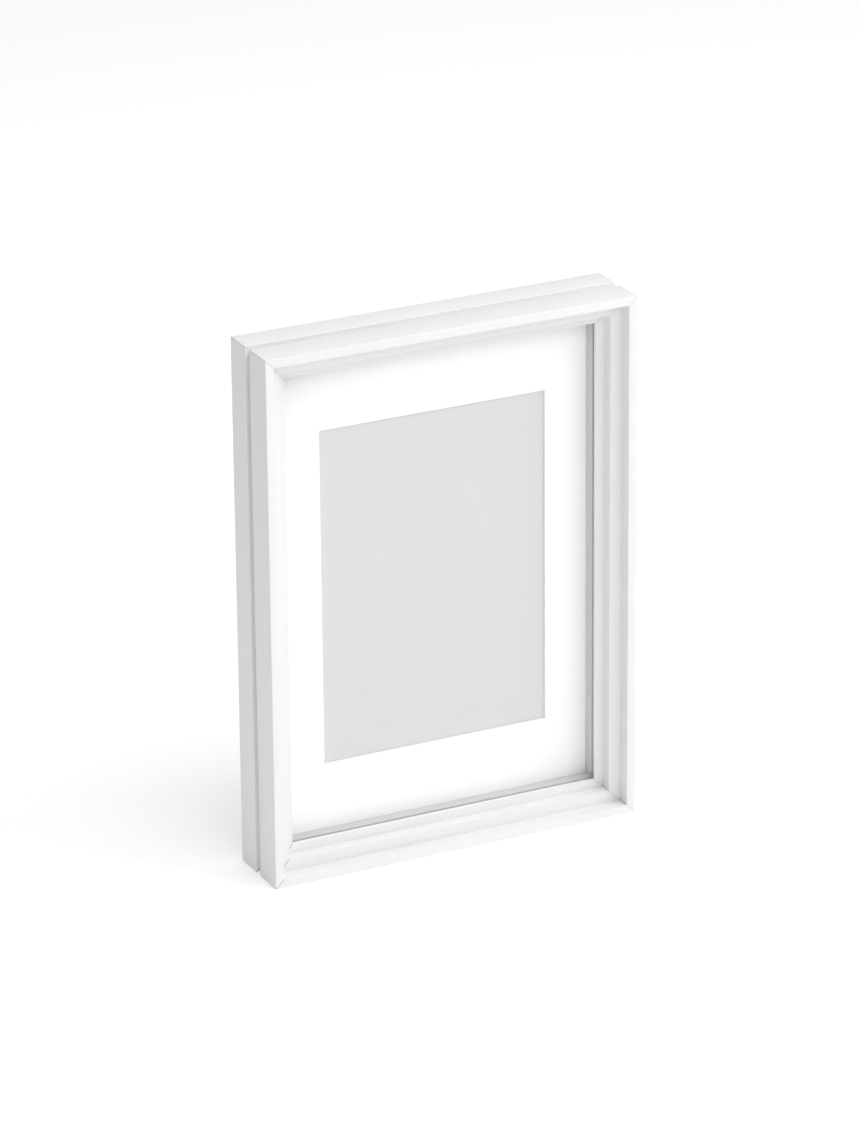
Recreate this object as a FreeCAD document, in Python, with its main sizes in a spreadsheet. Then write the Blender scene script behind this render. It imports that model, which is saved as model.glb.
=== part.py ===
import FreeCAD, Part
import Sketcher

import os

# A white shadow box: four mitred rails of deep stepped moulding round a glass pane, with a mat and
# card held close behind the glass by strips, and a hardboard panel at the back that six swivelling
# steel tabs lock in place. Two rings on the panel hang the box upright or on its side.
#
# Frame: millimetres, +Z up, the front faces -Y, the origin is under the middle of the box.
# "Depth" is measured from the front face towards the back, and "inset" from an outer side inwards.

SIZES = {
    # Whole box
    "box_width": 228.0,
    "box_height": 314.0,
    "box_depth": 45.0,
    # Section of the moulding, front to back
    "face_inset": 5.2,
    "first_step_depth": 8.4,
    "second_step_inset": 12.4,
    "lip_depth": 15.5,
    "sight_inset": 17.9,
    "lip_thickness": 2.5,
    "wall_thickness": 8.2,
    # Groove round the outer side
    "groove_depth_start": 20.7,
    "groove_width": 5.5,
    "groove_cut": 3.0,
    # Saw slot round the inner side, for the tabs
    "slot_width": 1.2,
    "slot_cut": 3.0,
    # Flat pieces, cut to one standard paper size
    "sheet_width": 210.0,
    "sheet_height": 297.0,
    "glass_thickness": 2.0,
    "mat_thickness": 1.4,
    "window_width": 140.0,
    "window_height": 200.0,
    "card_thickness": 0.6,
    "panel_thickness": 3.0,
    # Strips before and behind the mat
    "strip_gap": 0.4,
    "spacer_depth": 7.2,
    "rear_spacer_depth": 8.8,
    "rear_spacer_width": 5.0,
    # Turn tabs and their rivets
    "tab_width": 10.0,
    "tab_thickness": 0.8,
    "tab_gap": 0.1,
    "tab_pivot_distance": 13.0,
    "tab_engagement": 2.4,
    "tab_tail": 9.0,
    "tab_ear_height": 2.2,
    "tab_spacing": 164.0,
    "pivot_clearance": 0.08,
    "tab_rivet_radius": 1.5,
    "tab_head_radius": 3.0,
    "tab_head_height": 1.2,
    # Hangers and their rivets
    "hanger_inset": 50.0,
    "strap_width": 9.0,
    "strap_thickness": 0.8,
    "strap_round_centre": 14.0,
    "first_rivet_drop": 6.5,
    "knuckle_radius": 1.8,
    "ring_wire_radius": 1.0,
    "ring_corner_radius": 2.0,
    "ring_leg": 1.0,
    "ring_arch_radius": 7.0,
    "hanger_rivet_radius": 1.3,
    "hanger_head_radius": 2.2,
    "hanger_head_height": 1.0,
    # Flattened inner end of every rivet
    "rivet_foot_radius": 2.4,
    "rivet_foot_height": 0.8,
    # V-shaped nails across the mitres
    "nail_inset": 3.0,
    "nail_leg": 4.0,
    "nail_gauge": 0.6,
    "nail_length": 7.0,
    "nail_recess": 0.3,
    "nail_stack_step": 8.0,
}

# How far a cutting shape runs past what it cuts.
CUT_MARGIN = 1.0

doc = FreeCAD.newDocument("shadow_box")
sheet = doc.addObject("Spreadsheet::Sheet", "sizes")
for row, (alias, number) in enumerate(SIZES.items(), start=1):
    sheet.set(f"A{row}", alias)
    sheet.set(f"B{row}", str(number))
    sheet.setAlias(f"B{row}", alias)
doc.recompute()

# Places that several pieces share, as expressions over the sheet. Depths follow the stack.
HALF_WIDTH = "sizes.box_width / 2"
HALF_HEIGHT = "sizes.box_height / 2"
GLASS_FRONT = "(sizes.lip_depth + sizes.lip_thickness)"
SPACER_FRONT = f"({GLASS_FRONT} + sizes.glass_thickness)"
MAT_FRONT = f"({SPACER_FRONT} + sizes.spacer_depth)"
CARD_FRONT = f"({MAT_FRONT} + sizes.mat_thickness)"
REAR_SPACER_FRONT = f"({CARD_FRONT} + sizes.card_thickness)"
PANEL_FRONT = f"({REAR_SPACER_FRONT} + sizes.rear_spacer_depth)"
PANEL_REAR = f"({PANEL_FRONT} + sizes.panel_thickness)"
TAB_FRONT = f"({PANEL_REAR} + sizes.tab_gap)"
TAB_REAR = f"({TAB_FRONT} + sizes.tab_thickness)"
TAB_HEAD_SEAT = f"({TAB_REAR} + sizes.tab_gap)"
SLOT_FRONT = f"({TAB_FRONT} + (sizes.tab_thickness - sizes.slot_width) / 2)"
SLOT_REAR = f"({SLOT_FRONT} + sizes.slot_width)"
GROOVE_REAR = "(sizes.groove_depth_start + sizes.groove_width)"
STRIP_INSET = "(sizes.wall_thickness + sizes.strip_gap)"
TAB_PIVOT_INSET = "(sizes.wall_thickness + sizes.tab_pivot_distance)"
TAB_REACH = "(sizes.tab_pivot_distance + sizes.tab_engagement)"
KNUCKLE_BORE = "(sizes.ring_wire_radius + sizes.pivot_clearance)"

ABOUT_X = FreeCAD.Vector(1, 0, 0)
ABOUT_Y = FreeCAD.Vector(0, 1, 0)
ABOUT_Z = FreeCAD.Vector(0, 0, 1)
UPRIGHT = FreeCAD.Rotation()
TOWARDS_BACK = FreeCAD.Rotation(ABOUT_X, -90)
ALONG_X = FreeCAD.Rotation(ABOUT_Y, 90)
IN_FRONT_PLANE = FreeCAD.Rotation(ABOUT_X, 90)


def value(expression):
    """Give the number that an expression over the sheet has now."""
    return float(sheet.evalExpression(expression))


def at_depth(depth):
    """Give the Y place of a depth behind the front face."""
    return f"{depth} - sizes.box_depth / 2"


def place(piece, corner, rotation=UPRIGHT):
    """Turn a piece and bind the place of its own origin to the sheet."""
    piece.Placement = FreeCAD.Placement(FreeCAD.Vector(), rotation)
    for axis, expression in zip("xyz", corner):
        piece.setExpression(f"Placement.Base.{axis}", expression)
    return piece


def primitive(kind, name, sizes, corner, rotation=UPRIGHT):
    """Make a Part primitive with its sizes and its place bound to the sheet."""
    shape = doc.addObject(f"Part::{kind}", name)
    for quantity, expression in sizes.items():
        shape.setExpression(quantity, expression)
    return place(shape, corner, rotation)


def block(name, sizes, corner):
    """Make a box from its lowest corner."""
    return primitive("Box", name, dict(zip(("Length", "Width", "Height"), sizes)), corner)


def rod(name, radius, length, start, rotation=TOWARDS_BACK):
    """Make a round bar from the middle of its first end."""
    return primitive("Cylinder", name, {"Radius": radius, "Height": length}, start, rotation)


def fuse(name, pieces):
    """Join overlapping shapes into one."""
    joined = doc.addObject("Part::MultiFuse", name)
    joined.Shapes = pieces
    return joined


def cut(name, base, tool):
    """Take one shape away from another."""
    remainder = doc.addObject("Part::Cut", name)
    remainder.Base = base
    remainder.Tool = tool
    return remainder


def group(name, pieces):
    """Hold separate solids together as one node."""
    compound = doc.addObject("Part::Compound", name)
    compound.Links = pieces
    return compound


def new_sketch(body, name, role):
    """Start a sketch on one of the body's own origin planes."""
    plane = next(feature for feature in body.Origin.OriginFeatures if feature.Role == role)
    sketch = body.newObject("Sketcher::SketchObject", name)
    sketch.AttachmentSupport = [(plane, "")]
    sketch.MapMode = "FlatFace"
    return sketch


def draw_outline(sketch, corners):
    """Draw a closed outline whose corners are bound to the sheet."""
    points = [FreeCAD.Vector(value(across), value(up), 0) for across, up in corners]
    first = sketch.GeometryCount
    count = len(points)
    for index, point in enumerate(points):
        sketch.addGeometry(Part.LineSegment(point, points[(index + 1) % count]))
    for index in range(count):
        follower = first + (index + 1) % count
        sketch.addConstraint(Sketcher.Constraint("Coincident", first + index, 2, follower, 1))
    for index, pair in enumerate(corners):
        for kind, expression in zip(("DistanceX", "DistanceY"), pair):
            limit = Sketcher.Constraint(kind, -1, 1, first + index, 1, value(expression))
            number = sketch.addConstraint(limit)
            sketch.setExpression(f"Constraints[{number}]", expression)


def make_rail(name, length, corner, turn):
    """Make one rail: the moulding's section along X, mitred at both ends, turned to its side."""
    body = doc.addObject("PartDesign::Body", name)
    section = new_sketch(body, f"{name}_section", "YZ_Plane")
    draw_outline(section, [
        ("0", "0"),
        ("0", "sizes.face_inset"),
        ("sizes.first_step_depth", "sizes.face_inset"),
        ("sizes.first_step_depth", "sizes.second_step_inset"),
        ("sizes.lip_depth", "sizes.second_step_inset"),
        ("sizes.lip_depth", "sizes.sight_inset"),
        (GLASS_FRONT, "sizes.sight_inset"),
        (GLASS_FRONT, "sizes.wall_thickness"),
        (SLOT_FRONT, "sizes.wall_thickness"),
        (SLOT_FRONT, "sizes.wall_thickness - sizes.slot_cut"),
        (SLOT_REAR, "sizes.wall_thickness - sizes.slot_cut"),
        (SLOT_REAR, "sizes.wall_thickness"),
        ("sizes.box_depth", "sizes.wall_thickness"),
        ("sizes.box_depth", "0"),
        (GROOVE_REAR, "0"),
        (GROOVE_REAR, "sizes.groove_cut"),
        ("sizes.groove_depth_start", "sizes.groove_cut"),
        ("sizes.groove_depth_start", "0"),
    ])
    bar = body.newObject("PartDesign::Pad", f"{name}_bar")
    bar.Profile = section
    bar.SideType = "Symmetric"
    bar.setExpression("Length", length)
    ends = new_sketch(body, f"{name}_ends", "XZ_Plane")
    reach = f"(sizes.sight_inset + {CUT_MARGIN})"
    for side in (-1, 1):
        draw_outline(ends, [
            (f"{side} * {length} / 2", "0"),
            (f"{side} * ({length} / 2 - {reach})", reach),
            (f"{side} * ({length} / 2 + {CUT_MARGIN})", reach),
            (f"{side} * ({length} / 2 + {CUT_MARGIN})", "0"),
        ])
    mitres = body.newObject("PartDesign::Pocket", f"{name}_mitres")
    mitres.Profile = ends
    mitres.Type = "ThroughAll"
    mitres.SideType = "Symmetric"
    return place(body, corner, FreeCAD.Rotation(ABOUT_Y, turn))


def make_rails():
    """Make the four rails, each with its outer side on the outside of the box."""
    front = at_depth("0")
    across = "sizes.box_width"
    upward = "sizes.box_height"
    return [
        make_rail("rail_bottom", across, ("0", front, "0"), 0),
        make_rail("rail_top", across, ("0", front, upward), 180),
        make_rail("rail_left", upward, (f"-{HALF_WIDTH}", front, HALF_HEIGHT), 90),
        make_rail("rail_right", upward, (HALF_WIDTH, front, HALF_HEIGHT), -90),
    ]


def make_sheet(name, thickness, depth):
    """Make one full-size flat piece, centred in the box."""
    corner = ("-sizes.sheet_width / 2", at_depth(depth), f"{HALF_HEIGHT} - sizes.sheet_height / 2")
    return block(name, ("sizes.sheet_width", thickness, "sizes.sheet_height"), corner)


def make_mat():
    """Make the mat board with its centred window."""
    blank = make_sheet("mat_blank", "sizes.mat_thickness", MAT_FRONT)
    sizes = ("sizes.window_width", f"sizes.mat_thickness + {2 * CUT_MARGIN}", "sizes.window_height")
    corner = (
        "-sizes.window_width / 2",
        at_depth(f"{MAT_FRONT} - {CUT_MARGIN}"),
        f"{HALF_HEIGHT} - sizes.window_height / 2",
    )
    return cut("mat_board", blank, block("mat_window", sizes, corner))


def make_strips(prefix, depth, thickness, width):
    """Make four strips, butted at the corners, just inside the rails' walls."""
    across = f"sizes.box_width - 2 * {STRIP_INSET}"
    upward = f"sizes.box_height - 2 * {STRIP_INSET} - 2 * {width}"
    left = f"{STRIP_INSET} - {HALF_WIDTH}"
    front = at_depth(depth)
    lying = (across, thickness, width)
    standing = (width, thickness, upward)
    right = f"{HALF_WIDTH} - {STRIP_INSET} - {width}"
    side_foot = f"{STRIP_INSET} + {width}"
    top_foot = f"sizes.box_height - {STRIP_INSET} - {width}"
    return [
        block(f"{prefix}_bottom", lying, (left, front, STRIP_INSET)),
        block(f"{prefix}_top", lying, (left, front, top_foot)),
        block(f"{prefix}_left", standing, (left, front, side_foot)),
        block(f"{prefix}_right", standing, (right, front, side_foot)),
    ]


def tab_places():
    """List the pivot of each turn tab, and the turn about Y that points it at its rail."""
    left = f"{TAB_PIVOT_INSET} - {HALF_WIDTH}"
    right = f"{HALF_WIDTH} - {TAB_PIVOT_INSET}"
    low = f"{HALF_HEIGHT} - sizes.tab_spacing / 2"
    high = f"{HALF_HEIGHT} + sizes.tab_spacing / 2"
    return [
        ("0", f"sizes.box_height - {TAB_PIVOT_INSET}", 0),
        (right, high, 90),
        (right, low, 90),
        ("0", TAB_PIVOT_INSET, 180),
        (left, low, -90),
        (left, high, -90),
    ]


def make_tab(name, across, up, turn):
    """Make a turn tab: a strip with a rounded tongue, a bent-up ear and a pivot hole."""
    half = "-sizes.tab_width / 2"
    strip = block(
        f"{name}_strip",
        ("sizes.tab_width", "sizes.tab_thickness", f"sizes.tab_tail + {TAB_REACH}"),
        (half, "0", "-sizes.tab_tail"),
    )
    ear = block(
        f"{name}_ear",
        ("sizes.tab_width", "sizes.tab_ear_height", "sizes.tab_thickness"),
        (half, "0", "-sizes.tab_tail"),
    )
    flat = fuse(f"{name}_flat", [strip, ear])
    sweep = rod(f"{name}_sweep", TAB_REACH, "sizes.tab_ear_height", ("0", "0", "0"))
    tongue = doc.addObject("Part::Common", f"{name}_tongue")
    tongue.Base = flat
    tongue.Tool = sweep
    hole = rod(
        f"{name}_hole",
        "sizes.tab_rivet_radius + sizes.pivot_clearance",
        f"sizes.tab_thickness + {2 * CUT_MARGIN}",
        ("0", f"-{CUT_MARGIN}", "0"),
    )
    tab = cut(name, tongue, hole)
    return place(tab, (across, at_depth(TAB_FRONT), up), FreeCAD.Rotation(ABOUT_Y, turn))


def make_rivet(name, across, up, seat, shank_radius, head_radius, head_height):
    """Make a rivet through the panel: a flat foot in front, a shank and a domed head behind."""
    foot_start = at_depth(f"{PANEL_FRONT} - sizes.rivet_foot_height")
    foot = rod(f"{name}_foot", "sizes.rivet_foot_radius", "sizes.rivet_foot_height",
               (across, foot_start, up))
    shank = rod(f"{name}_shank", shank_radius, f"{seat} - {PANEL_FRONT}",
                (across, at_depth(PANEL_FRONT), up))
    ball_radius = f"(({head_radius} ^ 2 + {head_height} ^ 2) / (2 * {head_height}))"
    ball_centre = at_depth(f"{seat} + {head_height} - {ball_radius}")
    head = primitive("Sphere", f"{name}_head", {
        "Radius": ball_radius,
        "Angle1": f"asin(1 - {head_height} / {ball_radius})",
    }, (across, ball_centre, up), TOWARDS_BACK)
    return fuse(name, [foot, shank, head])


def make_tab_rivets():
    """Make the rivet that each turn tab swivels on."""
    return group("tab_rivets", [
        make_rivet(f"tab_rivet_{number}", across, up, TAB_HEAD_SEAT,
                   "sizes.tab_rivet_radius", "sizes.tab_head_radius", "sizes.tab_head_height")
        for number, (across, up, turn) in enumerate(tab_places(), start=1)
    ])


def hanger_places():
    """List each hanger's knuckle, and the turn about Y from pointing up to its own direction."""
    return [
        ("top", "0", "sizes.box_height - sizes.hanger_inset", 0),
        ("side", f"{HALF_WIDTH} - sizes.hanger_inset", HALF_HEIGHT, 90),
    ]


def hanger_rivet_places():
    """List where the rivets pass through the panel: two under each knuckle."""
    places = []
    for drop in ("sizes.first_rivet_drop", "sizes.strap_round_centre"):
        for side, across, up, turn in hanger_places():
            if turn == 0:
                places.append((across, f"{up} - {drop}"))
            else:
                places.append((f"{across} - {drop}", up))
    return places


def make_hanger_plate(name, across, up, turn):
    """Make a strap with a round end, rolled at the other end into a knuckle for the ring."""
    half = "-sizes.strap_width / 2"
    strap = block(
        f"{name}_strap",
        ("sizes.strap_width", "sizes.strap_thickness", "sizes.strap_round_centre"),
        (half, "0", "-sizes.strap_round_centre"),
    )
    end = rod(f"{name}_end", "sizes.strap_width / 2", "sizes.strap_thickness",
              ("0", "0", "-sizes.strap_round_centre"))
    knuckle = rod(f"{name}_knuckle", "sizes.knuckle_radius", "sizes.strap_width",
                  (half, "sizes.knuckle_radius", "0"), ALONG_X)
    bore = rod(f"{name}_bore", KNUCKLE_BORE, f"sizes.strap_width + {2 * CUT_MARGIN}",
               (f"{half} - {CUT_MARGIN}", "sizes.knuckle_radius", "0"), ALONG_X)
    holes = [
        rod(f"{name}_hole_{number}", "sizes.hanger_rivet_radius",
            f"sizes.strap_thickness + {2 * CUT_MARGIN}", ("0", f"-{CUT_MARGIN}", f"-{drop}"))
        for number, drop in enumerate(("sizes.first_rivet_drop", "sizes.strap_round_centre"), start=1)
    ]
    plate = cut(name, fuse(f"{name}_solid", [strap, end, knuckle]),
                fuse(f"{name}_cuts", [bore] + holes))
    return place(plate, (across, at_depth(PANEL_REAR), up), FreeCAD.Rotation(ABOUT_Y, turn))


def make_hanger_ring(name, across, up, turn):
    """Make a D-shaped wire ring: a straight bar in the knuckle, two short legs and an arch."""
    wire = "sizes.ring_wire_radius"
    corner = "sizes.ring_corner_radius"
    middle = "sizes.knuckle_radius"
    half_bar = f"(sizes.ring_arch_radius - {corner})"
    bar = rod(f"{name}_bar", wire, f"2 * {half_bar}", (f"-{half_bar}", middle, "0"), ALONG_X)
    pieces = [bar]
    for side, start_angle in (("left", 180), ("right", 270)):
        sign = "-" if side == "left" else ""
        pieces.append(primitive("Torus", f"{name}_{side}_bend", {
            "Radius1": corner,
            "Radius2": wire,
            "Angle3": "90",
        }, (f"{sign}{half_bar}", middle, corner),
            IN_FRONT_PLANE * FreeCAD.Rotation(ABOUT_Z, start_angle)))
        pieces.append(rod(f"{name}_{side}_leg", wire, "sizes.ring_leg",
                          (f"{sign}sizes.ring_arch_radius", middle, corner), UPRIGHT))
    pieces.append(primitive("Torus", f"{name}_arch", {
        "Radius1": "sizes.ring_arch_radius",
        "Radius2": wire,
        "Angle3": "180",
    }, ("0", middle, f"{corner} + sizes.ring_leg"), IN_FRONT_PLANE))
    ring = fuse(name, pieces)
    return place(ring, (across, at_depth(PANEL_REAR), up), FreeCAD.Rotation(ABOUT_Y, turn))


def make_hangers():
    """Make both plates and both rings."""
    pieces = []
    for side, across, up, turn in hanger_places():
        pieces.append(make_hanger_plate(f"hanger_plate_{side}", across, up, turn))
        pieces.append(make_hanger_ring(f"hanger_ring_{side}", across, up, turn))
    return pieces


def make_hanger_rivets():
    """Make the four rivets that hold the hanger plates."""
    seat = f"({PANEL_REAR} + sizes.strap_thickness)"
    return group("hanger_rivets", [
        make_rivet(f"hanger_rivet_{number}", across, up, seat, "sizes.hanger_rivet_radius",
                   "sizes.hanger_head_radius", "sizes.hanger_head_height")
        for number, (across, up) in enumerate(hanger_rivet_places(), start=1)
    ])


def make_panel():
    """Make the hardboard panel with a hole for every rivet."""
    blank = make_sheet("panel_blank", "sizes.panel_thickness", PANEL_FRONT)
    start = at_depth(f"{PANEL_FRONT} - {CUT_MARGIN}")
    length = f"sizes.panel_thickness + {2 * CUT_MARGIN}"
    wanted = [(across, up, "sizes.tab_rivet_radius") for across, up, turn in tab_places()]
    wanted += [(across, up, "sizes.hanger_rivet_radius") for across, up in hanger_rivet_places()]
    holes = [
        rod(f"panel_hole_{number}", radius, length, (across, start, up))
        for number, (across, up, radius) in enumerate(wanted, start=1)
    ]
    return cut("back_panel", blank, group("panel_holes", holes))


def make_nails():
    """Make two V-shaped nails, one behind the other, across each mitre."""
    corners = [
        (f"-{HALF_WIDTH}", "0", 0),
        (HALF_WIDTH, "0", -90),
        (HALF_WIDTH, "sizes.box_height", 180),
        (f"-{HALF_WIDTH}", "sizes.box_height", 90),
    ]
    nails = []
    for across, up, turn in corners:
        for layer in range(2):
            name = f"nail_{len(nails) + 1}"
            start = ("sizes.nail_inset", "0", "sizes.nail_inset")
            lying = block(f"{name}_lying", ("sizes.nail_leg", "sizes.nail_length", "sizes.nail_gauge"),
                          start)
            standing = block(f"{name}_standing",
                             ("sizes.nail_gauge", "sizes.nail_length", "sizes.nail_leg"), start)
            nail = fuse(name, [lying, standing])
            rear = f"(sizes.box_depth - sizes.nail_recess - {layer} * sizes.nail_stack_step)"
            front = at_depth(f"{rear} - sizes.nail_length")
            nails.append(place(nail, (across, front, up), FreeCAD.Rotation(ABOUT_Y, turn)))
    return group("corner_v_nails", nails)


def make_box():
    """Make every piece of the shadow box."""
    pieces = make_rails()
    pieces.append(make_sheet("glazing", "sizes.glass_thickness", GLASS_FRONT))
    spacer_width = f"(sizes.sight_inset - {STRIP_INSET})"
    pieces += make_strips("spacer", SPACER_FRONT, "sizes.spacer_depth", spacer_width)
    pieces.append(make_mat())
    pieces.append(make_sheet("insert_card", "sizes.card_thickness", CARD_FRONT))
    pieces += make_strips("rear_spacer", REAR_SPACER_FRONT, "sizes.rear_spacer_depth",
                          "sizes.rear_spacer_width")
    pieces.append(make_panel())
    for number, (across, up, turn) in enumerate(tab_places(), start=1):
        pieces.append(make_tab(f"turn_tab_{number}", across, up, turn))
    pieces.append(make_tab_rivets())
    pieces += make_hangers()
    pieces.append(make_hanger_rivets())
    pieces.append(make_nails())
    return pieces


def check(pieces):
    """Stop if anything in the document failed, or a piece has no valid solid."""
    for item in doc.Objects:
        if "Invalid" in item.State or "Error" in item.State:
            raise RuntimeError(f"{item.Label} failed: {item.State}")
    for piece in pieces:
        if piece.Shape.isNull() or not piece.Shape.isValid() or not piece.Shape.Solids:
            raise RuntimeError(f"{piece.Label} has no valid solid")


def export(pieces):
    """Write each piece to a STEP file named after it."""
    os.makedirs("parts", exist_ok=True)
    for piece in pieces:
        piece.Shape.exportStep(f"parts/{piece.Label}.step")
        print(f"{piece.Label}: {len(piece.Shape.Solids)} solid(s), {piece.Shape.Volume:.1f} mm3")


box_pieces = make_box()
doc.recompute()
check(box_pieces)
export(box_pieces)
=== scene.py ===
import math

import bmesh
import bpy
from mathutils import Matrix, Vector


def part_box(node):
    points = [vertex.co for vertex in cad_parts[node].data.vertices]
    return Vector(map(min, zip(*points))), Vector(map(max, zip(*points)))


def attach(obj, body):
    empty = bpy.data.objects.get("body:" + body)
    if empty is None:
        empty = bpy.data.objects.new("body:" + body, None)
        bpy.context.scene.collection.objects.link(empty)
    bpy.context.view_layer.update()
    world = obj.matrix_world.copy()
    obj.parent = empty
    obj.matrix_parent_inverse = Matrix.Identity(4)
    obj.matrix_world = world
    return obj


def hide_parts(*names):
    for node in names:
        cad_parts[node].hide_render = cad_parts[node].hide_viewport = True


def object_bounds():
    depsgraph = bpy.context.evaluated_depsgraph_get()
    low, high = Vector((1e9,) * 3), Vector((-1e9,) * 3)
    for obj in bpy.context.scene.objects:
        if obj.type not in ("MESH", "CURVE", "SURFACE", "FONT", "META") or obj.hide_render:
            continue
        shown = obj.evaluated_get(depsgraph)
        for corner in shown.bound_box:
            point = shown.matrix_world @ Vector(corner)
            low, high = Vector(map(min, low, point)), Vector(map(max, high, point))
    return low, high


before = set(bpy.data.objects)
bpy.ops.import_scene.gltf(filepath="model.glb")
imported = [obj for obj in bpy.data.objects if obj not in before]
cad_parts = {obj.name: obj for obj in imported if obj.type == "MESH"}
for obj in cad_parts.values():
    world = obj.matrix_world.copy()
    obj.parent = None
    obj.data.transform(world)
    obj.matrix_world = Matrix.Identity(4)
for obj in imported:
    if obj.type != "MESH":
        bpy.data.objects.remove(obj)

# A white shadow box on a pale studio floor. Metres, +Z up, the front faces -Y.
# "Depth" runs from the front face to the back, and "inset" from an outer side inwards.

MM = 0.001
CAD_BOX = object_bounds()
LOWEST, HIGHEST = CAD_BOX
MIDDLE = (LOWEST + HIGHEST) / 2
BODY = "box"

# Hand-eased edges of each kind of piece
MOULDING_EASE = 0.35 * MM
MITRE_EASE = 0.10 * MM
MITRE_GAP = 0.05 * MM
MITRE_SEAM = 0.20 * MM
HOLLOW_EASE = 0.10 * MM
STRIP_EASE = 0.20 * MM
BOARD_EASE = 0.12 * MM
CARD_EASE = 0.05 * MM
GLASS_EASE = 0.30 * MM
METAL_EASE = 0.12 * MM
PANE_RELIEF = 0.04 * MM

# Sheet metal parts, as stamped and bent
TAB_WIDTH = 10.0 * MM
TAB_TAIL = 9.0 * MM
TAB_REACH = 15.4 * MM
TAB_BEND = 1.2 * MM
TAB_EAR = 2.2 * MM
TAB_EAR_CORNER = 0.8 * MM
TAB_HOLE = 1.58 * MM
TAB_PIVOT_INSET = 21.2 * MM
TAB_SPACING = 164.0 * MM
METAL = 0.8 * MM
HANGER_INSET = 50.0 * MM
STRAP_WIDTH = 9.0 * MM
STRAP_ROUND_CENTRE = 14.0 * MM
FIRST_RIVET_DROP = 6.5 * MM
KNUCKLE = 1.8 * MM
KNUCKLE_CURL = math.radians(298)
RING_WIRE = 1.0 * MM
RING_CORNER = 2.0 * MM
RING_LEG = 1.0 * MM
RING_ARCH = 7.0 * MM
TAB_RIVET = (1.5 * MM, 3.0 * MM, 1.2 * MM)
HANGER_RIVET = (1.3 * MM, 2.2 * MM, 1.0 * MM)
FOOT_RADIUS = 2.4 * MM
FOOT_HEIGHT = 0.8 * MM
HEAD_EDGE = 0.25 * MM
RIVET_GAP = 0.1 * MM

# How finely round stretches are cut
TAB_TONGUE_STEPS = 20
TAB_CORNER_STEPS = 6
TAB_BEND_STEPS = 6
TAB_HOLE_STEPS = 40
STRAP_END_STEPS = 24
STRAP_HOLE_STEPS = 32
KNUCKLE_STEPS = 26
RING_ARCH_STEPS = 36
RING_CORNER_STEPS = 12
RIVET_DOME_STEPS = 10
RIVET_SIDES = 40

# Mesh clean-up and shading: a distance, and angles in degrees
WELD = 0.001 * MM
PATTERN_WELD = 0.01 * MM
FLAT_ANGLE = 0.5
EASED_ANGLE = 40.0
SMOOTH_ANGLE = 32.0
GLASS_SMOOTH_ANGLE = 20.0
RING_SMOOTH_ANGLE = 60.0

# Colours, linear
MOULDING_WHITE = (0.768, 0.768, 0.764)
SEAM_GREY = (0.36, 0.35, 0.34)
STRIP_WHITE = (0.615, 0.615, 0.615)
MAT_WHITE = (0.96, 0.96, 0.957)
CARD_GREY = (0.66, 0.66, 0.66)
GLASS_TINT = (0.996, 0.997, 0.996)
HARDBOARD_DARK = (0.185, 0.098, 0.046)
HARDBOARD_MID = (0.31, 0.178, 0.09)
HARDBOARD_PALE = (0.45, 0.29, 0.165)
WOOD_PALE = (0.70, 0.54, 0.35)
WOOD_DARK = (0.56, 0.40, 0.24)
ZINC_DARK = (0.50, 0.515, 0.53)
ZINC_PALE = (0.66, 0.66, 0.65)
ALUMINIUM_DARK = (0.72, 0.73, 0.74)
ALUMINIUM_PALE = (0.84, 0.845, 0.85)

# How much the seam colours an open and a closed mitre, and what the pane mirrors
OPEN_SEAM = 0.85
CLOSED_SEAM = 0.12
MIRROR_FACE_ON = 0.008
MIRROR_GAIN_EDGE_ON = 0.96
SCREEN_PITCH = 1.35 * MM

# Camera in degrees, metres and lens millimetres, and light
CAMERA_AZIMUTH = -26.30
CAMERA_ELEVATION = 22.00
CAMERA_ROLL = -0.53
CAMERA_DISTANCE = 3.1996
CAMERA_ASIDE = 0.00484
CAMERA_ABOVE = -0.00415
CAMERA_LENS = 179.4
SENSOR_WIDTH = 36.0
ROOM_LIGHT = 0.38
FLOOR_SIZE = 14.0
FLOOR_GLOW = 0.22
# Lamps: name, place, width, height and watts
LAMPS = (
    ("key", (1.83, -1.53, 2.29), 1.5, 1.5, 41.5),
    ("front_fill", (-0.2, -2.7, 2.0), 2.6, 1.6, 28.5),
    ("top_fill", (0.0, 0.1, 3.2), 2.4, 2.4, 44.5),
)


# ---------------------------------------------------------------- meshes


def rotation_y(degrees):
    """A turn about the Y axis."""
    return Matrix.Rotation(math.radians(degrees), 4, "Y")


def put_in_scene(name, data):
    """Make an object of some data and put it in the scene."""
    thing = bpy.data.objects.new(name, data)
    bpy.context.scene.collection.objects.link(thing)
    return thing


def add_object(name, bm, smooth_angle=SMOOTH_ANGLE):
    """Turn a bmesh into an object, smooth shaded except across sharp edges."""
    mesh = bpy.data.meshes.new(name)
    bmesh.ops.recalc_face_normals(bm, faces=bm.faces)
    bm.to_mesh(mesh)
    bm.free()
    piece = put_in_scene(name, mesh)
    shade(piece, smooth_angle)
    return piece


def shade(piece, smooth_angle):
    """Smooth the faces and mark the edges sharper than an angle."""
    for polygon in piece.data.polygons:
        polygon.use_smooth = True
    piece.data.set_sharp_from_angle(angle=math.radians(smooth_angle))


def apply_modifiers(piece):
    """Put the result of the modifiers into the mesh."""
    graph = bpy.context.evaluated_depsgraph_get()
    made = bpy.data.meshes.new_from_object(piece.evaluated_get(graph))
    old = piece.data
    piece.modifiers.clear()
    piece.data = made
    bpy.data.meshes.remove(old)


def bevel(piece, width, segments=3, by_weight=False):
    """Round the edges of a piece and apply the result."""
    modifier = piece.modifiers.new("ease", "BEVEL")
    modifier.width = width
    modifier.segments = segments
    modifier.limit_method = "WEIGHT" if by_weight else "ANGLE"
    modifier.angle_limit = math.radians(EASED_ANGLE)
    modifier.miter_outer = "MITER_ARC"
    apply_modifiers(piece)


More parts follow.
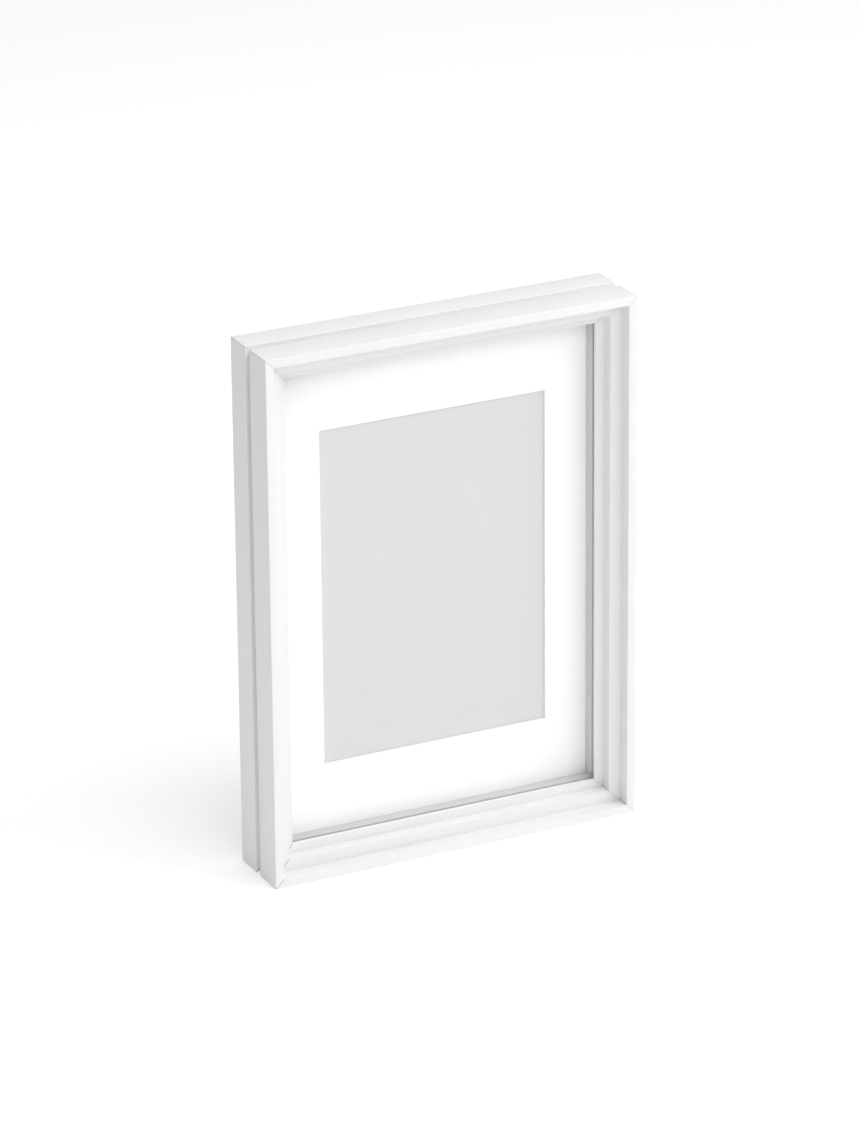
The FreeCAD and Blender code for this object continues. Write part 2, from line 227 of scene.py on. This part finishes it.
def dissolve_flat(bm):
    """Join the triangles that lie in one plane."""
    angle = math.radians(FLAT_ANGLE)
    bmesh.ops.dissolve_limit(bm, angle_limit=angle, verts=bm.verts, edges=bm.edges)


def clean_copy(node):
    """Copy a node's mesh as a bmesh of welded, undivided flat faces."""
    bm = bmesh.new()
    bm.from_mesh(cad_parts[node].data)
    bmesh.ops.remove_doubles(bm, verts=bm.verts, dist=WELD)
    dissolve_flat(bm)
    return bm


def stand_for(piece, node, body, material):
    """Let a finished piece replace a node, ride on its body and wear its material."""
    piece.data.materials.clear()
    piece.data.materials.append(material)
    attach(piece, body)
    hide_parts(node)
    return piece


def eased_copy(name, node, material, width, segments=3):
    """Make a piece with the node's own shape and softened edges."""
    piece = add_object(name, clean_copy(node))
    bevel(piece, width, segments)
    shade(piece, SMOOTH_ANGLE)
    return stand_for(piece, node, BODY, material)


def lathe(name, outline, segments):
    """Spin an outline of (radius, height) points about the Y axis, closed at both ends."""
    bm = bmesh.new()
    rings = []
    for radius, height in outline:
        if radius == 0:
            rings.append([bm.verts.new((0, height, 0))])
        else:
            steps = [2 * math.pi * k / segments for k in range(segments)]
            rings.append([bm.verts.new((radius * math.cos(t), height, radius * math.sin(t)))
                          for t in steps])
    for low, high in zip(rings, rings[1:]):
        for k in range(segments):
            after = (k + 1) % segments
            corners = [low[k % len(low)], low[after % len(low)], high[after % len(high)],
                       high[k % len(high)]]
            bm.faces.new(dict.fromkeys(corners))
    return add_object(name, bm)


def arc(centre, radius, start, end, steps):
    """Points along an arc in the plane of a flat pattern, angles in degrees."""
    turns = [math.radians(start + (end - start) * k / steps) for k in range(steps + 1)]
    return [(centre[0] + radius * math.cos(t), centre[1] + radius * math.sin(t)) for t in turns]


def circle(centre, radius, steps):
    """Evenly spaced points round a circle in the plane of a flat pattern."""
    return arc(centre, radius, 0, 360 - 360 / steps, steps - 1)


def flat_pattern(outline, holes, bend_lines):
    """A flat sheet with holes, cut across where it is to bend."""
    bm = bmesh.new()
    edges = []
    for loop in [outline] + holes:
        verts = [bm.verts.new((across, 0, along)) for across, along in loop]
        edges += [bm.edges.new((verts[k - 1], verts[k])) for k in range(len(verts))]
    bmesh.ops.triangle_fill(bm, use_beauty=True, edges=edges, normal=(0, -1, 0))
    for line in bend_lines:
        geometry = list(bm.verts) + list(bm.edges) + list(bm.faces)
        bmesh.ops.bisect_plane(bm, geom=geometry, plane_co=(0, 0, line), plane_no=(0, 0, 1))
    bmesh.ops.remove_doubles(bm, verts=bm.verts, dist=PATTERN_WELD)
    for face in bm.faces:
        if face.normal.y > 0:
            face.normal_flip()
    return bm


def bent_sheet(name, outline, holes, bend_lines, bend):
    """Bend a flat pattern by a function, and give it the metal's thickness."""
    bm = flat_pattern(outline, holes, bend_lines)
    for vert in bm.verts:
        vert.co = bend(vert.co)
    mesh = bpy.data.meshes.new(name)
    bm.to_mesh(mesh)
    bm.free()
    piece = put_in_scene(name, mesh)
    solid = piece.modifiers.new("thickness", "SOLIDIFY")
    solid.thickness = METAL
    solid.offset = -1.0
    solid.use_even_offset = True
    apply_modifiers(piece)
    bm = bmesh.new()
    bm.from_mesh(piece.data)
    dissolve_flat(bm)
    bm.to_mesh(piece.data)
    bm.free()
    bevel(piece, METAL_EASE, 2)
    shade(piece, SMOOTH_ANGLE)
    return piece


def move(piece, matrix):
    """Put a piece's mesh in its place, and leave its object at the origin."""
    piece.data.transform(matrix)
    piece.data.update()
    return piece


def join(name, parts):
    """Join several pieces into one object."""
    bm = bmesh.new()
    for part in parts:
        bm.from_mesh(part.data)
        mesh = part.data
        bpy.data.objects.remove(part)
        bpy.data.meshes.remove(mesh)
    return add_object(name, bm)


# ---------------------------------------------------------------- materials


class Shader:
    """A material with one Principled shader, and short ways to wire textures into it."""

    def __init__(self, name, colour, roughness, metallic=0.0, **settings):
        self.material = bpy.data.materials.new(name)
        self.material.use_nodes = True
        self.tree = self.material.node_tree
        self.bsdf = self.tree.nodes["Principled BSDF"]
        self.bsdf.inputs["Base Color"].default_value = (*colour, 1.0)
        self.bsdf.inputs["Roughness"].default_value = roughness
        self.bsdf.inputs["Metallic"].default_value = metallic
        for socket, number in settings.items():
            self.bsdf.inputs[socket.replace("_", " ")].default_value = number
        self.place = self.node("ShaderNodeTexCoord").outputs["Object"]

    def node(self, kind, **settings):
        """Add a node and set its plain properties."""
        node = self.tree.nodes.new(kind)
        for key, setting in settings.items():
            setattr(node, key, setting)
        return node

    def link(self, source, target):
        """Wire one socket to another."""
        self.tree.links.new(source, target)

    def stretched(self, scale):
        """Object coordinates, scaled differently along each axis."""
        mapping = self.node("ShaderNodeMapping")
        mapping.inputs["Scale"].default_value = scale
        self.link(self.place, mapping.inputs["Vector"])
        return mapping.outputs["Vector"]

    def noise(self, scale, detail=3.0, vector=None, roughness=0.55):
        """Noise with a size given in cycles per metre."""
        noise = self.node("ShaderNodeTexNoise")
        noise.inputs["Scale"].default_value = scale
        noise.inputs["Detail"].default_value = detail
        noise.inputs["Roughness"].default_value = roughness
        self.link(vector or self.place, noise.inputs["Vector"])
        return noise.outputs["Fac"]

    def math(self, operation, first, second=None):
        """Work on one or two values, each a socket or a number."""
        node = self.node("ShaderNodeMath", operation=operation)
        for socket, given in zip(node.inputs, (first, second)):
            if isinstance(given, (int, float)):
                socket.default_value = given
            elif given is not None:
                self.link(given, socket)
        return node.outputs[0]

    def span(self, source, low, high, out_low, out_high):
        """Map one range of a value to another."""
        node = self.node("ShaderNodeMapRange")
        self.link(source, node.inputs["Value"])
        for socket, number in zip(("From Min", "From Max", "To Min", "To Max"),
                                  (low, high, out_low, out_high)):
            node.inputs[socket].default_value = number
        return node.outputs["Result"]

    def blend(self, factor, first, second):
        """Mix two colours, each a socket or a plain colour."""
        node = self.node("ShaderNodeMix", data_type="RGBA")
        self.link(factor, node.inputs["Factor"])
        for socket, given in zip((node.inputs[6], node.inputs[7]), (first, second)):
            if isinstance(given, tuple):
                socket.default_value = (*given, 1.0)
            else:
                self.link(given, socket)
        return node.outputs[2]

    def edges(self, radius):
        """0 on flat faces, rising towards 1 along convex and concave edges."""
        rounded = self.node("ShaderNodeBevel", samples=4)
        rounded.inputs["Radius"].default_value = radius
        real = self.node("ShaderNodeNewGeometry")
        dot = self.node("ShaderNodeVectorMath", operation="DOT_PRODUCT")
        self.link(rounded.outputs["Normal"], dot.inputs[0])
        self.link(real.outputs["True Normal"], dot.inputs[1])
        return self.span(dot.outputs["Value"], 0.995, 0.75, 0.0, 1.0)

    def mitre_seam(self, half_width):
        """The hairline of the four mitres: open at the lower left, closed tight elsewhere."""
        split = self.node("ShaderNodeSeparateXYZ")
        self.link(self.place, split.inputs[0])
        aside = self.math("ABSOLUTE", split.outputs["X"])
        above = self.math("ABSOLUTE", self.math("SUBTRACT", split.outputs["Z"], MIDDLE.z))
        corner = (HIGHEST.x - LOWEST.x) / 2 - (HIGHEST.z - LOWEST.z) / 2
        across = self.math("SUBTRACT", self.math("SUBTRACT", aside, above), corner)
        off = self.math("ABSOLUTE", across)
        line = self.span(off, half_width, 2 * half_width, 1.0, 0.0)
        left = self.math("LESS_THAN", split.outputs["X"], 0.0)
        low = self.math("LESS_THAN", split.outputs["Z"], MIDDLE.z)
        strength = self.span(self.math("MULTIPLY", left, low), 0.0, 1.0, CLOSED_SEAM, OPEN_SEAM)
        return self.math("MULTIPLY", line, strength)

    def bump(self, height, distance, strength=1.0):
        """Send a height to the shader's normal."""
        node = self.node("ShaderNodeBump")
        node.inputs["Distance"].default_value = distance
        node.inputs["Strength"].default_value = strength
        self.link(height, node.inputs["Height"])
        self.link(node.outputs["Normal"], self.bsdf.inputs["Normal"])

    def colour(self, source):
        """Drive the base colour."""
        self.link(source, self.bsdf.inputs["Base Color"])

    def roughness(self, source):
        """Drive the roughness."""
        self.link(source, self.bsdf.inputs["Roughness"])


def moulding_material(name, along):
    """White satin lacquer on wood fibre: faint lengthwise grain, orange peel and mottled sheen."""
    shader = Shader(name, MOULDING_WHITE, 0.42, Specular_IOR_Level=0.45)
    fine = 2600.0
    slow = 55.0
    stretch = (slow, fine, fine) if along == "X" else (fine, fine, slow)
    grain = shader.noise(1.0, 4.0, shader.stretched(stretch))
    cloud = shader.noise(22.0, 3.0)
    peel = shader.noise(1500.0, 2.0)
    tone = shader.math("MULTIPLY_ADD", grain, 0.6)
    shader.link(shader.math("MULTIPLY", cloud, 0.4), tone.node.inputs[2])
    warm = tuple(c * f for c, f in zip(MOULDING_WHITE, (0.985, 0.978, 0.965)))
    bright = tuple(min(1.0, c * 1.012) for c in MOULDING_WHITE)
    painted = shader.blend(shader.span(tone, 0.35, 0.65, 0.0, 1.0), warm, bright)
    # Edges go darker and warmer: real wear where the mask finds convex arrises, and painted shade
    # where it finds the concave corners between the steps.
    worn = tuple(c * f for c, f in zip(MOULDING_WHITE, (0.93, 0.915, 0.89)))
    edge_wear_and_crease_shade = shader.math("MULTIPLY", shader.edges(0.5 * MM), shader.span(cloud, 0.4, 0.7, 0.1, 0.7))
    seam = shader.mitre_seam(MITRE_SEAM)
    shader.colour(shader.blend(seam, shader.blend(edge_wear_and_crease_shade, painted, worn), SEAM_GREY))
    shader.roughness(shader.math("SUBTRACT", shader.span(cloud, 0.3, 0.7, 0.36, 0.48),
                                 shader.math("MULTIPLY", edge_wear_and_crease_shade, 0.12)))
    relief = shader.math("MULTIPLY_ADD", peel, 0.55)
    shader.link(shader.math("MULTIPLY", grain, 0.45), relief.node.inputs[2])
    shader.bump(relief, 0.00002, 0.6)
    return shader.material


def board_material(name, colour, fleck, roughness=0.85, relief=0.00002):
    """Smooth paper or card: fine fibres, a few paler and darker ones, and a soft tooth."""
    shader = Shader(name, colour, roughness, Specular_IOR_Level=0.3)
    fibres = shader.noise(1900.0, 5.0, roughness=0.7)
    long_fibres = shader.noise(1.0, 3.0, shader.stretched((900.0, 900.0, 240.0)))
    cloud = shader.noise(14.0, 2.0)
    mixed = shader.math("ADD", shader.math("MULTIPLY", fibres, 0.5),
                        shader.math("MULTIPLY", long_fibres, 0.5))
    dark = tuple(c * (1.0 - fleck) for c in colour)
    light = tuple(min(1.0, c * (1.0 + fleck)) for c in colour)
    shader.colour(shader.blend(shader.span(mixed, 0.35, 0.65, 0.0, 1.0), dark, light))
    shader.roughness(shader.span(cloud, 0.3, 0.7, roughness - 0.06, roughness + 0.06))
    shader.bump(mixed, relief, 0.5)
    return shader.material


def glass_material():
    """Clear thin pane: a Schlick share of mirror over a nearly colourless see-through."""
    material = bpy.data.materials.new("clear_pane")
    material.use_nodes = True
    tree = material.node_tree
    tree.nodes.clear()
    facing = tree.nodes.new("ShaderNodeLayerWeight")
    facing.inputs["Blend"].default_value = 0.5
    power = tree.nodes.new("ShaderNodeMath")
    power.operation = "POWER"
    power.inputs[1].default_value = 5.0
    share = tree.nodes.new("ShaderNodeMath")
    share.operation = "MULTIPLY_ADD"
    share.inputs[1].default_value = MIRROR_GAIN_EDGE_ON
    share.inputs[2].default_value = MIRROR_FACE_ON
    through = tree.nodes.new("ShaderNodeBsdfTransparent")
    through.inputs["Color"].default_value = (*GLASS_TINT, 1.0)
    mirror = tree.nodes.new("ShaderNodeBsdfGlossy")
    mirror.inputs["Color"].default_value = (1.0, 1.0, 1.0, 1.0)
    smear = tree.nodes.new("ShaderNodeTexNoise")
    smear.inputs["Scale"].default_value = 18.0
    smear.inputs["Detail"].default_value = 4.0
    place = tree.nodes.new("ShaderNodeTexCoord")
    polish = tree.nodes.new("ShaderNodeMapRange")
    polish.inputs["To Min"].default_value = 0.012
    polish.inputs["To Max"].default_value = 0.045
    mix = tree.nodes.new("ShaderNodeMixShader")
    output = tree.nodes.new("ShaderNodeOutputMaterial")
    for source, target in (
        (facing.outputs["Facing"], power.inputs[0]),
        (power.outputs[0], share.inputs[0]),
        (share.outputs[0], mix.inputs["Fac"]),
        (place.outputs["Object"], smear.inputs["Vector"]),
        (smear.outputs["Fac"], polish.inputs["Value"]),
        (polish.outputs["Result"], mirror.inputs["Roughness"]),
        (through.outputs[0], mix.inputs[1]),
        (mirror.outputs[0], mix.inputs[2]),
        (mix.outputs[0], output.inputs["Surface"]),
    ):
        tree.links.new(source, target)
    return material


def hardboard_material():
    """Brown pressed fibreboard, its back printed with the mesh of the press screen."""
    shader = Shader("hardboard_back", HARDBOARD_MID, 0.62, Specular_IOR_Level=0.35)
    split = shader.node("ShaderNodeSeparateXYZ")
    shader.link(shader.place, split.inputs[0])
    turns = 2 * math.pi / SCREEN_PITCH
    waves = [shader.math("SINE", shader.math("MULTIPLY", split.outputs[axis], turns))
             for axis in ("X", "Z")]
    mesh_print = shader.math("MULTIPLY", waves[0], waves[1])
    fibres = shader.noise(1100.0, 6.0, roughness=0.8)
    clumps = shader.noise(1.0, 5.0, shader.stretched((260.0, 260.0, 520.0)), roughness=0.75)
    cloud = shader.noise(11.0, 3.0)
    base = shader.blend(shader.span(clumps, 0.3, 0.75, 0.0, 1.0), HARDBOARD_DARK, HARDBOARD_MID)
    flecked = shader.blend(shader.span(fibres, 0.52, 0.72, 0.0, 0.8), base, HARDBOARD_PALE)
    aged = shader.blend(shader.span(cloud, 0.35, 0.7, 0.0, 0.35), flecked, HARDBOARD_MID)
    shader.colour(aged)
    shader.roughness(shader.span(fibres, 0.3, 0.7, 0.52, 0.74))
    height = shader.math("ADD", shader.math("MULTIPLY", mesh_print, 0.35),
                         shader.math("MULTIPLY", fibres, 0.65))
    shader.bump(height, 0.00012, 0.7)
    return shader.material


def wood_material():
    """Bare planed softwood for the hidden rear strips."""
    shader = Shader("bare_strip", WOOD_PALE, 0.6)
    rings = shader.node("ShaderNodeTexWave", wave_type="BANDS", bands_direction="Y")
    rings.inputs["Scale"].default_value = 90.0
    rings.inputs["Distortion"].default_value = 5.0
    rings.inputs["Detail"].default_value = 3.0
    shader.link(shader.stretched((0.25, 1.0, 0.25)), rings.inputs["Vector"])
    pores = shader.noise(1500.0, 3.0)
    shader.colour(shader.blend(rings.outputs["Fac"], WOOD_PALE, WOOD_DARK))
    shader.roughness(shader.span(pores, 0.3, 0.7, 0.5, 0.68))
    shader.bump(pores, 0.00004, 0.5)
    return shader.material


def zinc_material():
    """Zinc-plated steel: cool grey metal with faint crystals, fine scratches and dull patches."""
    shader = Shader("zinc_plate", ZINC_PALE, 0.34, 1.0)
    crystals = shader.node("ShaderNodeTexVoronoi")
    crystals.inputs["Scale"].default_value = 1100.0
    shader.link(shader.place, crystals.inputs["Vector"])
    tone = shader.node("ShaderNodeSeparateColor")
    shader.link(crystals.outputs["Color"], tone.inputs[0])
    patches = shader.noise(260.0, 4.0)
    scratches = shader.noise(1.0, 2.0, shader.stretched((9000.0, 9000.0, 420.0)))
    shader.colour(shader.blend(shader.span(tone.outputs[0], 0.0, 1.0, 0.0, 1.0),
                               ZINC_DARK, ZINC_PALE))
    worn = shader.math("ADD", shader.span(patches, 0.3, 0.7, 0.24, 0.42),
                       shader.span(scratches, 0.4, 0.8, -0.04, 0.08))
    shader.roughness(worn)
    shader.bump(scratches, 0.00001, 0.5)
    return shader.material


def aluminium_material():
    """Bright aluminium of set rivets, lightly hammered."""
    shader = Shader("rivet_metal", ALUMINIUM_PALE, 0.28, 1.0)
    dents = shader.noise(620.0, 2.0)
    haze = shader.noise(2400.0, 3.0)
    shader.colour(shader.blend(shader.span(haze, 0.3, 0.7, 0.0, 1.0),
                               ALUMINIUM_DARK, ALUMINIUM_PALE))
    shader.roughness(shader.span(haze, 0.3, 0.7, 0.22, 0.4))
    shader.bump(dents, 0.00006, 0.5)
    return shader.material


# ---------------------------------------------------------------- the box


def make_rail(name, node, material):
    """A rail with rounded corners along it and hairline mitres at its ends."""
    bm = clean_copy(node)
    weights = bm.edges.layers.float.new("bevel_weight_edge")
    bm.normal_update()
    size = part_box(node)
    along = 0 if (size[1].x - size[0].x) > (size[1].z - size[0].z) else 2
    middle = (size[0][along] + size[1][along]) / 2
    for vert in bm.verts:
        vert.co[along] -= math.copysign(MITRE_GAP, vert.co[along] - middle)
    for edge in bm.edges:
        direction = (edge.verts[1].co - edge.verts[0].co).normalized()
        if abs(direction[along]) > 0.999:
            ease = MOULDING_EASE if edge.is_convex else HOLLOW_EASE
        else:
            ease = MITRE_EASE
        edge[weights] = ease / MOULDING_EASE
    piece = add_object(name, bm)
    bevel(piece, MOULDING_EASE, 3, by_weight=True)
    shade(piece, SMOOTH_ANGLE)
    return stand_for(piece, node, BODY, material)


def make_pane(material):
    """The glass pane, with ground edges, a hair clear of the strips behind it."""
    bm = clean_copy("glazing")
    rear = max(vert.co.y for vert in bm.verts)
    for vert in bm.verts:
        if vert.co.y > rear - MM:
            vert.co.y -= PANE_RELIEF
    piece = add_object("glass_pane", bm)
    bevel(piece, GLASS_EASE, 1)
    shade(piece, GLASS_SMOOTH_ANGLE)
    return stand_for(piece, "glazing", BODY, material)


def tab_bend(co):
    """Turn up the end of a tab's flat pattern into its ear."""
    start = -(TAB_TAIL - TAB_BEND)
    past = start - co.z
    if past <= 0:
        return co
    turn = min(past / TAB_BEND, math.pi / 2)
    rise = max(past - TAB_BEND * math.pi / 2, 0.0)
    return Vector((co.x, TAB_BEND * (1 - math.cos(turn)) + rise, start - TAB_BEND * math.sin(turn)))


def make_tab(name, matrix):
    """A turn tab lying on the panel: rounded tongue, pivot hole and bent-up ear."""
    half = TAB_WIDTH / 2
    shoulder = math.degrees(math.acos(half / TAB_REACH))
    start = -(TAB_TAIL - TAB_BEND)
    flat_end = start - TAB_BEND * math.pi / 2 - (TAB_EAR - TAB_BEND)
    corner = TAB_EAR_CORNER
    outline = arc((0, 0), TAB_REACH, shoulder, 180 - shoulder, TAB_TONGUE_STEPS)
    outline += arc((-half + corner, flat_end + corner), corner, 180, 270, TAB_CORNER_STEPS)
    outline += arc((half - corner, flat_end + corner), corner, 270, 360, TAB_CORNER_STEPS)
    hole = circle((0, 0), TAB_HOLE, TAB_HOLE_STEPS)
    bend_length = TAB_BEND * math.pi / 2
    bend_lines = [start - bend_length * k / TAB_BEND_STEPS for k in range(TAB_BEND_STEPS + 1)]
    piece = bent_sheet(name, outline, [hole], bend_lines, tab_bend)
    return move(piece, matrix)


def strap_bend(co):
    """Roll the end of a strap's flat pattern into the ring's knuckle."""
    if co.z <= 0:
        return co
    turn = co.z / KNUCKLE
    return Vector((co.x, KNUCKLE * (1 - math.cos(turn)), KNUCKLE * math.sin(turn)))


def make_strap(name, matrix):
    """A hanger strap: round end, two rivet holes, and an end rolled round the ring's bar."""
    half = STRAP_WIDTH / 2
    tip = KNUCKLE_CURL * KNUCKLE
    outline = [(half, tip), (-half, tip)]
    outline += arc((0, -STRAP_ROUND_CENTRE), half, 180, 360, STRAP_END_STEPS)
    holes = [circle((0, -drop), HANGER_RIVET[0], STRAP_HOLE_STEPS)
             for drop in (FIRST_RIVET_DROP, STRAP_ROUND_CENTRE)]
    bend_lines = [tip * k / KNUCKLE_STEPS for k in range(KNUCKLE_STEPS)]
    piece = bent_sheet(name, outline, holes, bend_lines, strap_bend)
    return move(piece, matrix)


def make_ring(name, matrix):
    """A D-shaped wire ring, its straight bar in the knuckle."""
    half_bar = RING_ARCH - RING_CORNER
    points = arc((0, RING_CORNER + RING_LEG), RING_ARCH, 0, 180, RING_ARCH_STEPS)
    points += arc((-half_bar, RING_CORNER), RING_CORNER, 180, 270, RING_CORNER_STEPS)
    points += arc((half_bar, RING_CORNER), RING_CORNER, 270, 360, RING_CORNER_STEPS)
    curve = bpy.data.curves.new(name, "CURVE")
    curve.dimensions = "3D"
    curve.bevel_depth = RING_WIRE
    curve.bevel_resolution = 6
    spline = curve.splines.new("POLY")
    spline.points.add(len(points) - 1)
    for point, (across, up) in zip(spline.points, points):
        point.co = (across, KNUCKLE, up, 1.0)
    spline.use_cyclic_u = True
    shape = put_in_scene(name, curve)
    graph = bpy.context.evaluated_depsgraph_get()
    mesh = bpy.data.meshes.new_from_object(shape.evaluated_get(graph))
    bpy.data.objects.remove(shape)
    bpy.data.curves.remove(curve)
    piece = put_in_scene(name, mesh)
    shade(piece, RING_SMOOTH_ANGLE)
    return move(piece, matrix)


def make_rivet(across, up, front, seat, sizes):
    """A set rivet: flat foot, shank through the panel, and a domed head with a soft rim."""
    shank, head, height = sizes
    ball = (head ** 2 + height ** 2) / (2 * height)
    half_angle = math.asin(head / ball)
    outline = [(0, front - FOOT_HEIGHT), (FOOT_RADIUS - HEAD_EDGE, front - FOOT_HEIGHT),
               (FOOT_RADIUS, front - FOOT_HEIGHT + HEAD_EDGE), (FOOT_RADIUS, front), (shank, front),
               (shank, seat), (head - HEAD_EDGE / 2, seat), (head, seat + HEAD_EDGE / 4)]
    for step in range(1, RIVET_DOME_STEPS):
        angle = half_angle * (1 - step / RIVET_DOME_STEPS)
        outline.append((ball * math.sin(angle), seat + height - ball * (1 - math.cos(angle))))
    outline.append((0, seat + height))
    piece = lathe("rivet", outline, RIVET_SIDES)
    return move(piece, Matrix.Translation((across, 0, up)))


def tab_places():
    """Each tab's pivot on the panel, and the turn that points it at its rail."""
    left = LOWEST.x + TAB_PIVOT_INSET
    right = HIGHEST.x - TAB_PIVOT_INSET
    low = MIDDLE.z - TAB_SPACING / 2
    high = MIDDLE.z + TAB_SPACING / 2
    return [
        (0, HIGHEST.z - TAB_PIVOT_INSET, 0),
        (right, high, 90),
        (right, low, 90),
        (0, TAB_PIVOT_INSET, 180),
        (left, low, -90),
        (left, high, -90),
    ]


def hanger_places():
    """Each hanger's side, knuckle place and turn."""
    return [
        ("top", 0, HIGHEST.z - HANGER_INSET, 0),
        ("side", HIGHEST.x - HANGER_INSET, MIDDLE.z, 90),
    ]


def make_hardware():
    """All the metal on the panel: tabs, hangers, rings and rivets."""
    zinc = zinc_material()
    aluminium = aluminium_material()
    panel_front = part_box("back_panel")[0].y
    panel_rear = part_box("back_panel")[1].y
    tab_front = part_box("turn_tab_1")[0].y
    tab_seat = tab_front + METAL + RIVET_GAP
    for number, (across, up, turn) in enumerate(tab_places(), start=1):
        matrix = Matrix.Translation((across, tab_front, up)) @ rotation_y(turn)
        node = f"turn_tab_{number}"
        stand_for(make_tab(f"swivel_tab_{number}", matrix), node, node, zinc)
    rivets = [make_rivet(across, up, panel_front, tab_seat, TAB_RIVET)
              for across, up, turn in tab_places()]
    stand_for(join("swivel_rivets", rivets), "tab_rivets", BODY, aluminium)
    rivets = []
    for side, across, up, turn in hanger_places():
        matrix = Matrix.Translation((across, panel_rear, up)) @ rotation_y(turn)
        stand_for(make_strap(f"hanger_strap_{side}", matrix), f"hanger_plate_{side}", BODY, zinc)
        ring = f"hanger_ring_{side}"
        stand_for(make_ring(f"d_ring_{side}", matrix), ring, ring, zinc)
        for drop in (FIRST_RIVET_DROP, STRAP_ROUND_CENTRE):
            place = matrix @ Vector((0, 0, -drop))
            rivets.append(make_rivet(place.x, place.z, panel_front, panel_rear + METAL, HANGER_RIVET))
    stand_for(join("strap_rivets", rivets), "hanger_rivets", BODY, aluminium)
    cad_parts["corner_v_nails"].data.materials.clear()
    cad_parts["corner_v_nails"].data.materials.append(zinc)


def make_box():
    """Every visible piece of the box."""
    lengthwise = moulding_material("moulding_across", "X")
    upright = moulding_material("moulding_upright", "Z")
    for side, material in (("bottom", lengthwise), ("top", lengthwise),
                           ("left", upright), ("right", upright)):
        make_rail(f"moulding_{side}", f"rail_{side}", material)
    make_pane(glass_material())
    strip = board_material("strip_facing", STRIP_WHITE, 0.02, 0.7)
    wood = wood_material()
    for side in ("bottom", "top", "left", "right"):
        eased_copy(f"front_strip_{side}", f"spacer_{side}", strip, STRIP_EASE)
        eased_copy(f"back_strip_{side}", f"rear_spacer_{side}", wood, STRIP_EASE)
    mat = board_material("mat_facing", MAT_WHITE, 0.012)
    eased_copy("window_mat", "mat_board", mat, BOARD_EASE)
    card = board_material("card_facing", CARD_GREY, 0.015)
    eased_copy("display_card", "insert_card", card, CARD_EASE, 1)
    eased_copy("rear_panel", "back_panel", hardboard_material(), BOARD_EASE)
    make_hardware()


# ---------------------------------------------------------------- studio


def make_camera():
    """A long lens, above and to the left of the box, aimed near its middle."""
    azimuth = math.radians(CAMERA_AZIMUTH)
    elevation = math.radians(CAMERA_ELEVATION)
    back = Vector((math.sin(azimuth) * math.cos(elevation),
                   -math.cos(azimuth) * math.cos(elevation), math.sin(elevation)))
    right = Vector((0, 0, 1)).cross(back).normalized()
    up = back.cross(right)
    roll = Matrix.Rotation(math.radians(CAMERA_ROLL), 3, back)
    right, up = roll @ right, roll @ up
    camera = put_in_scene("camera", bpy.data.cameras.new("camera"))
    camera.data.lens = CAMERA_LENS
    camera.data.sensor_width = SENSOR_WIDTH
    camera.data.clip_end = 100.0
    place = MIDDLE - right * CAMERA_ASIDE - up * CAMERA_ABOVE + back * CAMERA_DISTANCE
    turn = Matrix((right, up, back)).transposed().to_4x4()
    camera.matrix_world = Matrix.Translation(place) @ turn
    bpy.context.scene.camera = camera


def make_softbox(name, place, width, height, power):
    """A soft rectangular lamp that faces the box."""
    lamp = bpy.data.lights.new(name, "AREA")
    lamp.shape = "RECTANGLE"
    lamp.size = width
    lamp.size_y = height
    lamp.energy = power
    holder = put_in_scene(name, lamp)
    holder.location = place
    holder.rotation_mode = "QUATERNION"
    holder.rotation_quaternion = (Vector(place) - MIDDLE).to_track_quat("Z", "Y")


def make_floor():
    """A pale, plain floor that runs past the view on every side."""
    bm = bmesh.new()
    bmesh.ops.create_grid(bm, x_segments=8, y_segments=8, size=FLOOR_SIZE / 2)
    floor = add_object("studio_floor", bm)
    shader = Shader("studio_paper", (0.90, 0.90, 0.90), 0.9, Specular_IOR_Level=0.1)
    tooth = shader.noise(320.0, 3.0)
    shader.colour(shader.blend(shader.span(tooth, 0.3, 0.7, 0.0, 1.0), (0.895,) * 3, (0.905,) * 3))
    shader.bsdf.inputs["Emission Color"].default_value = (1.0, 1.0, 1.0, 1.0)
    shader.bsdf.inputs["Emission Strength"].default_value = FLOOR_GLOW
    floor.data.materials.append(shader.material)


def make_world():
    """Even white room light."""
    world = bpy.data.worlds.new("studio")
    world.use_nodes = True
    bpy.context.scene.world = world
    room = world.node_tree.nodes["Background"]
    room.inputs["Color"].default_value = (1.0, 1.0, 1.0, 1.0)
    room.inputs["Strength"].default_value = ROOM_LIGHT


def make_studio():
    """Camera, floor, room light and lamps."""
    make_camera()
    make_floor()
    make_world()
    for lamp in LAMPS:
        make_softbox(*lamp)
    bpy.context.scene.view_settings.view_transform = "Standard"


make_studio()
make_box()
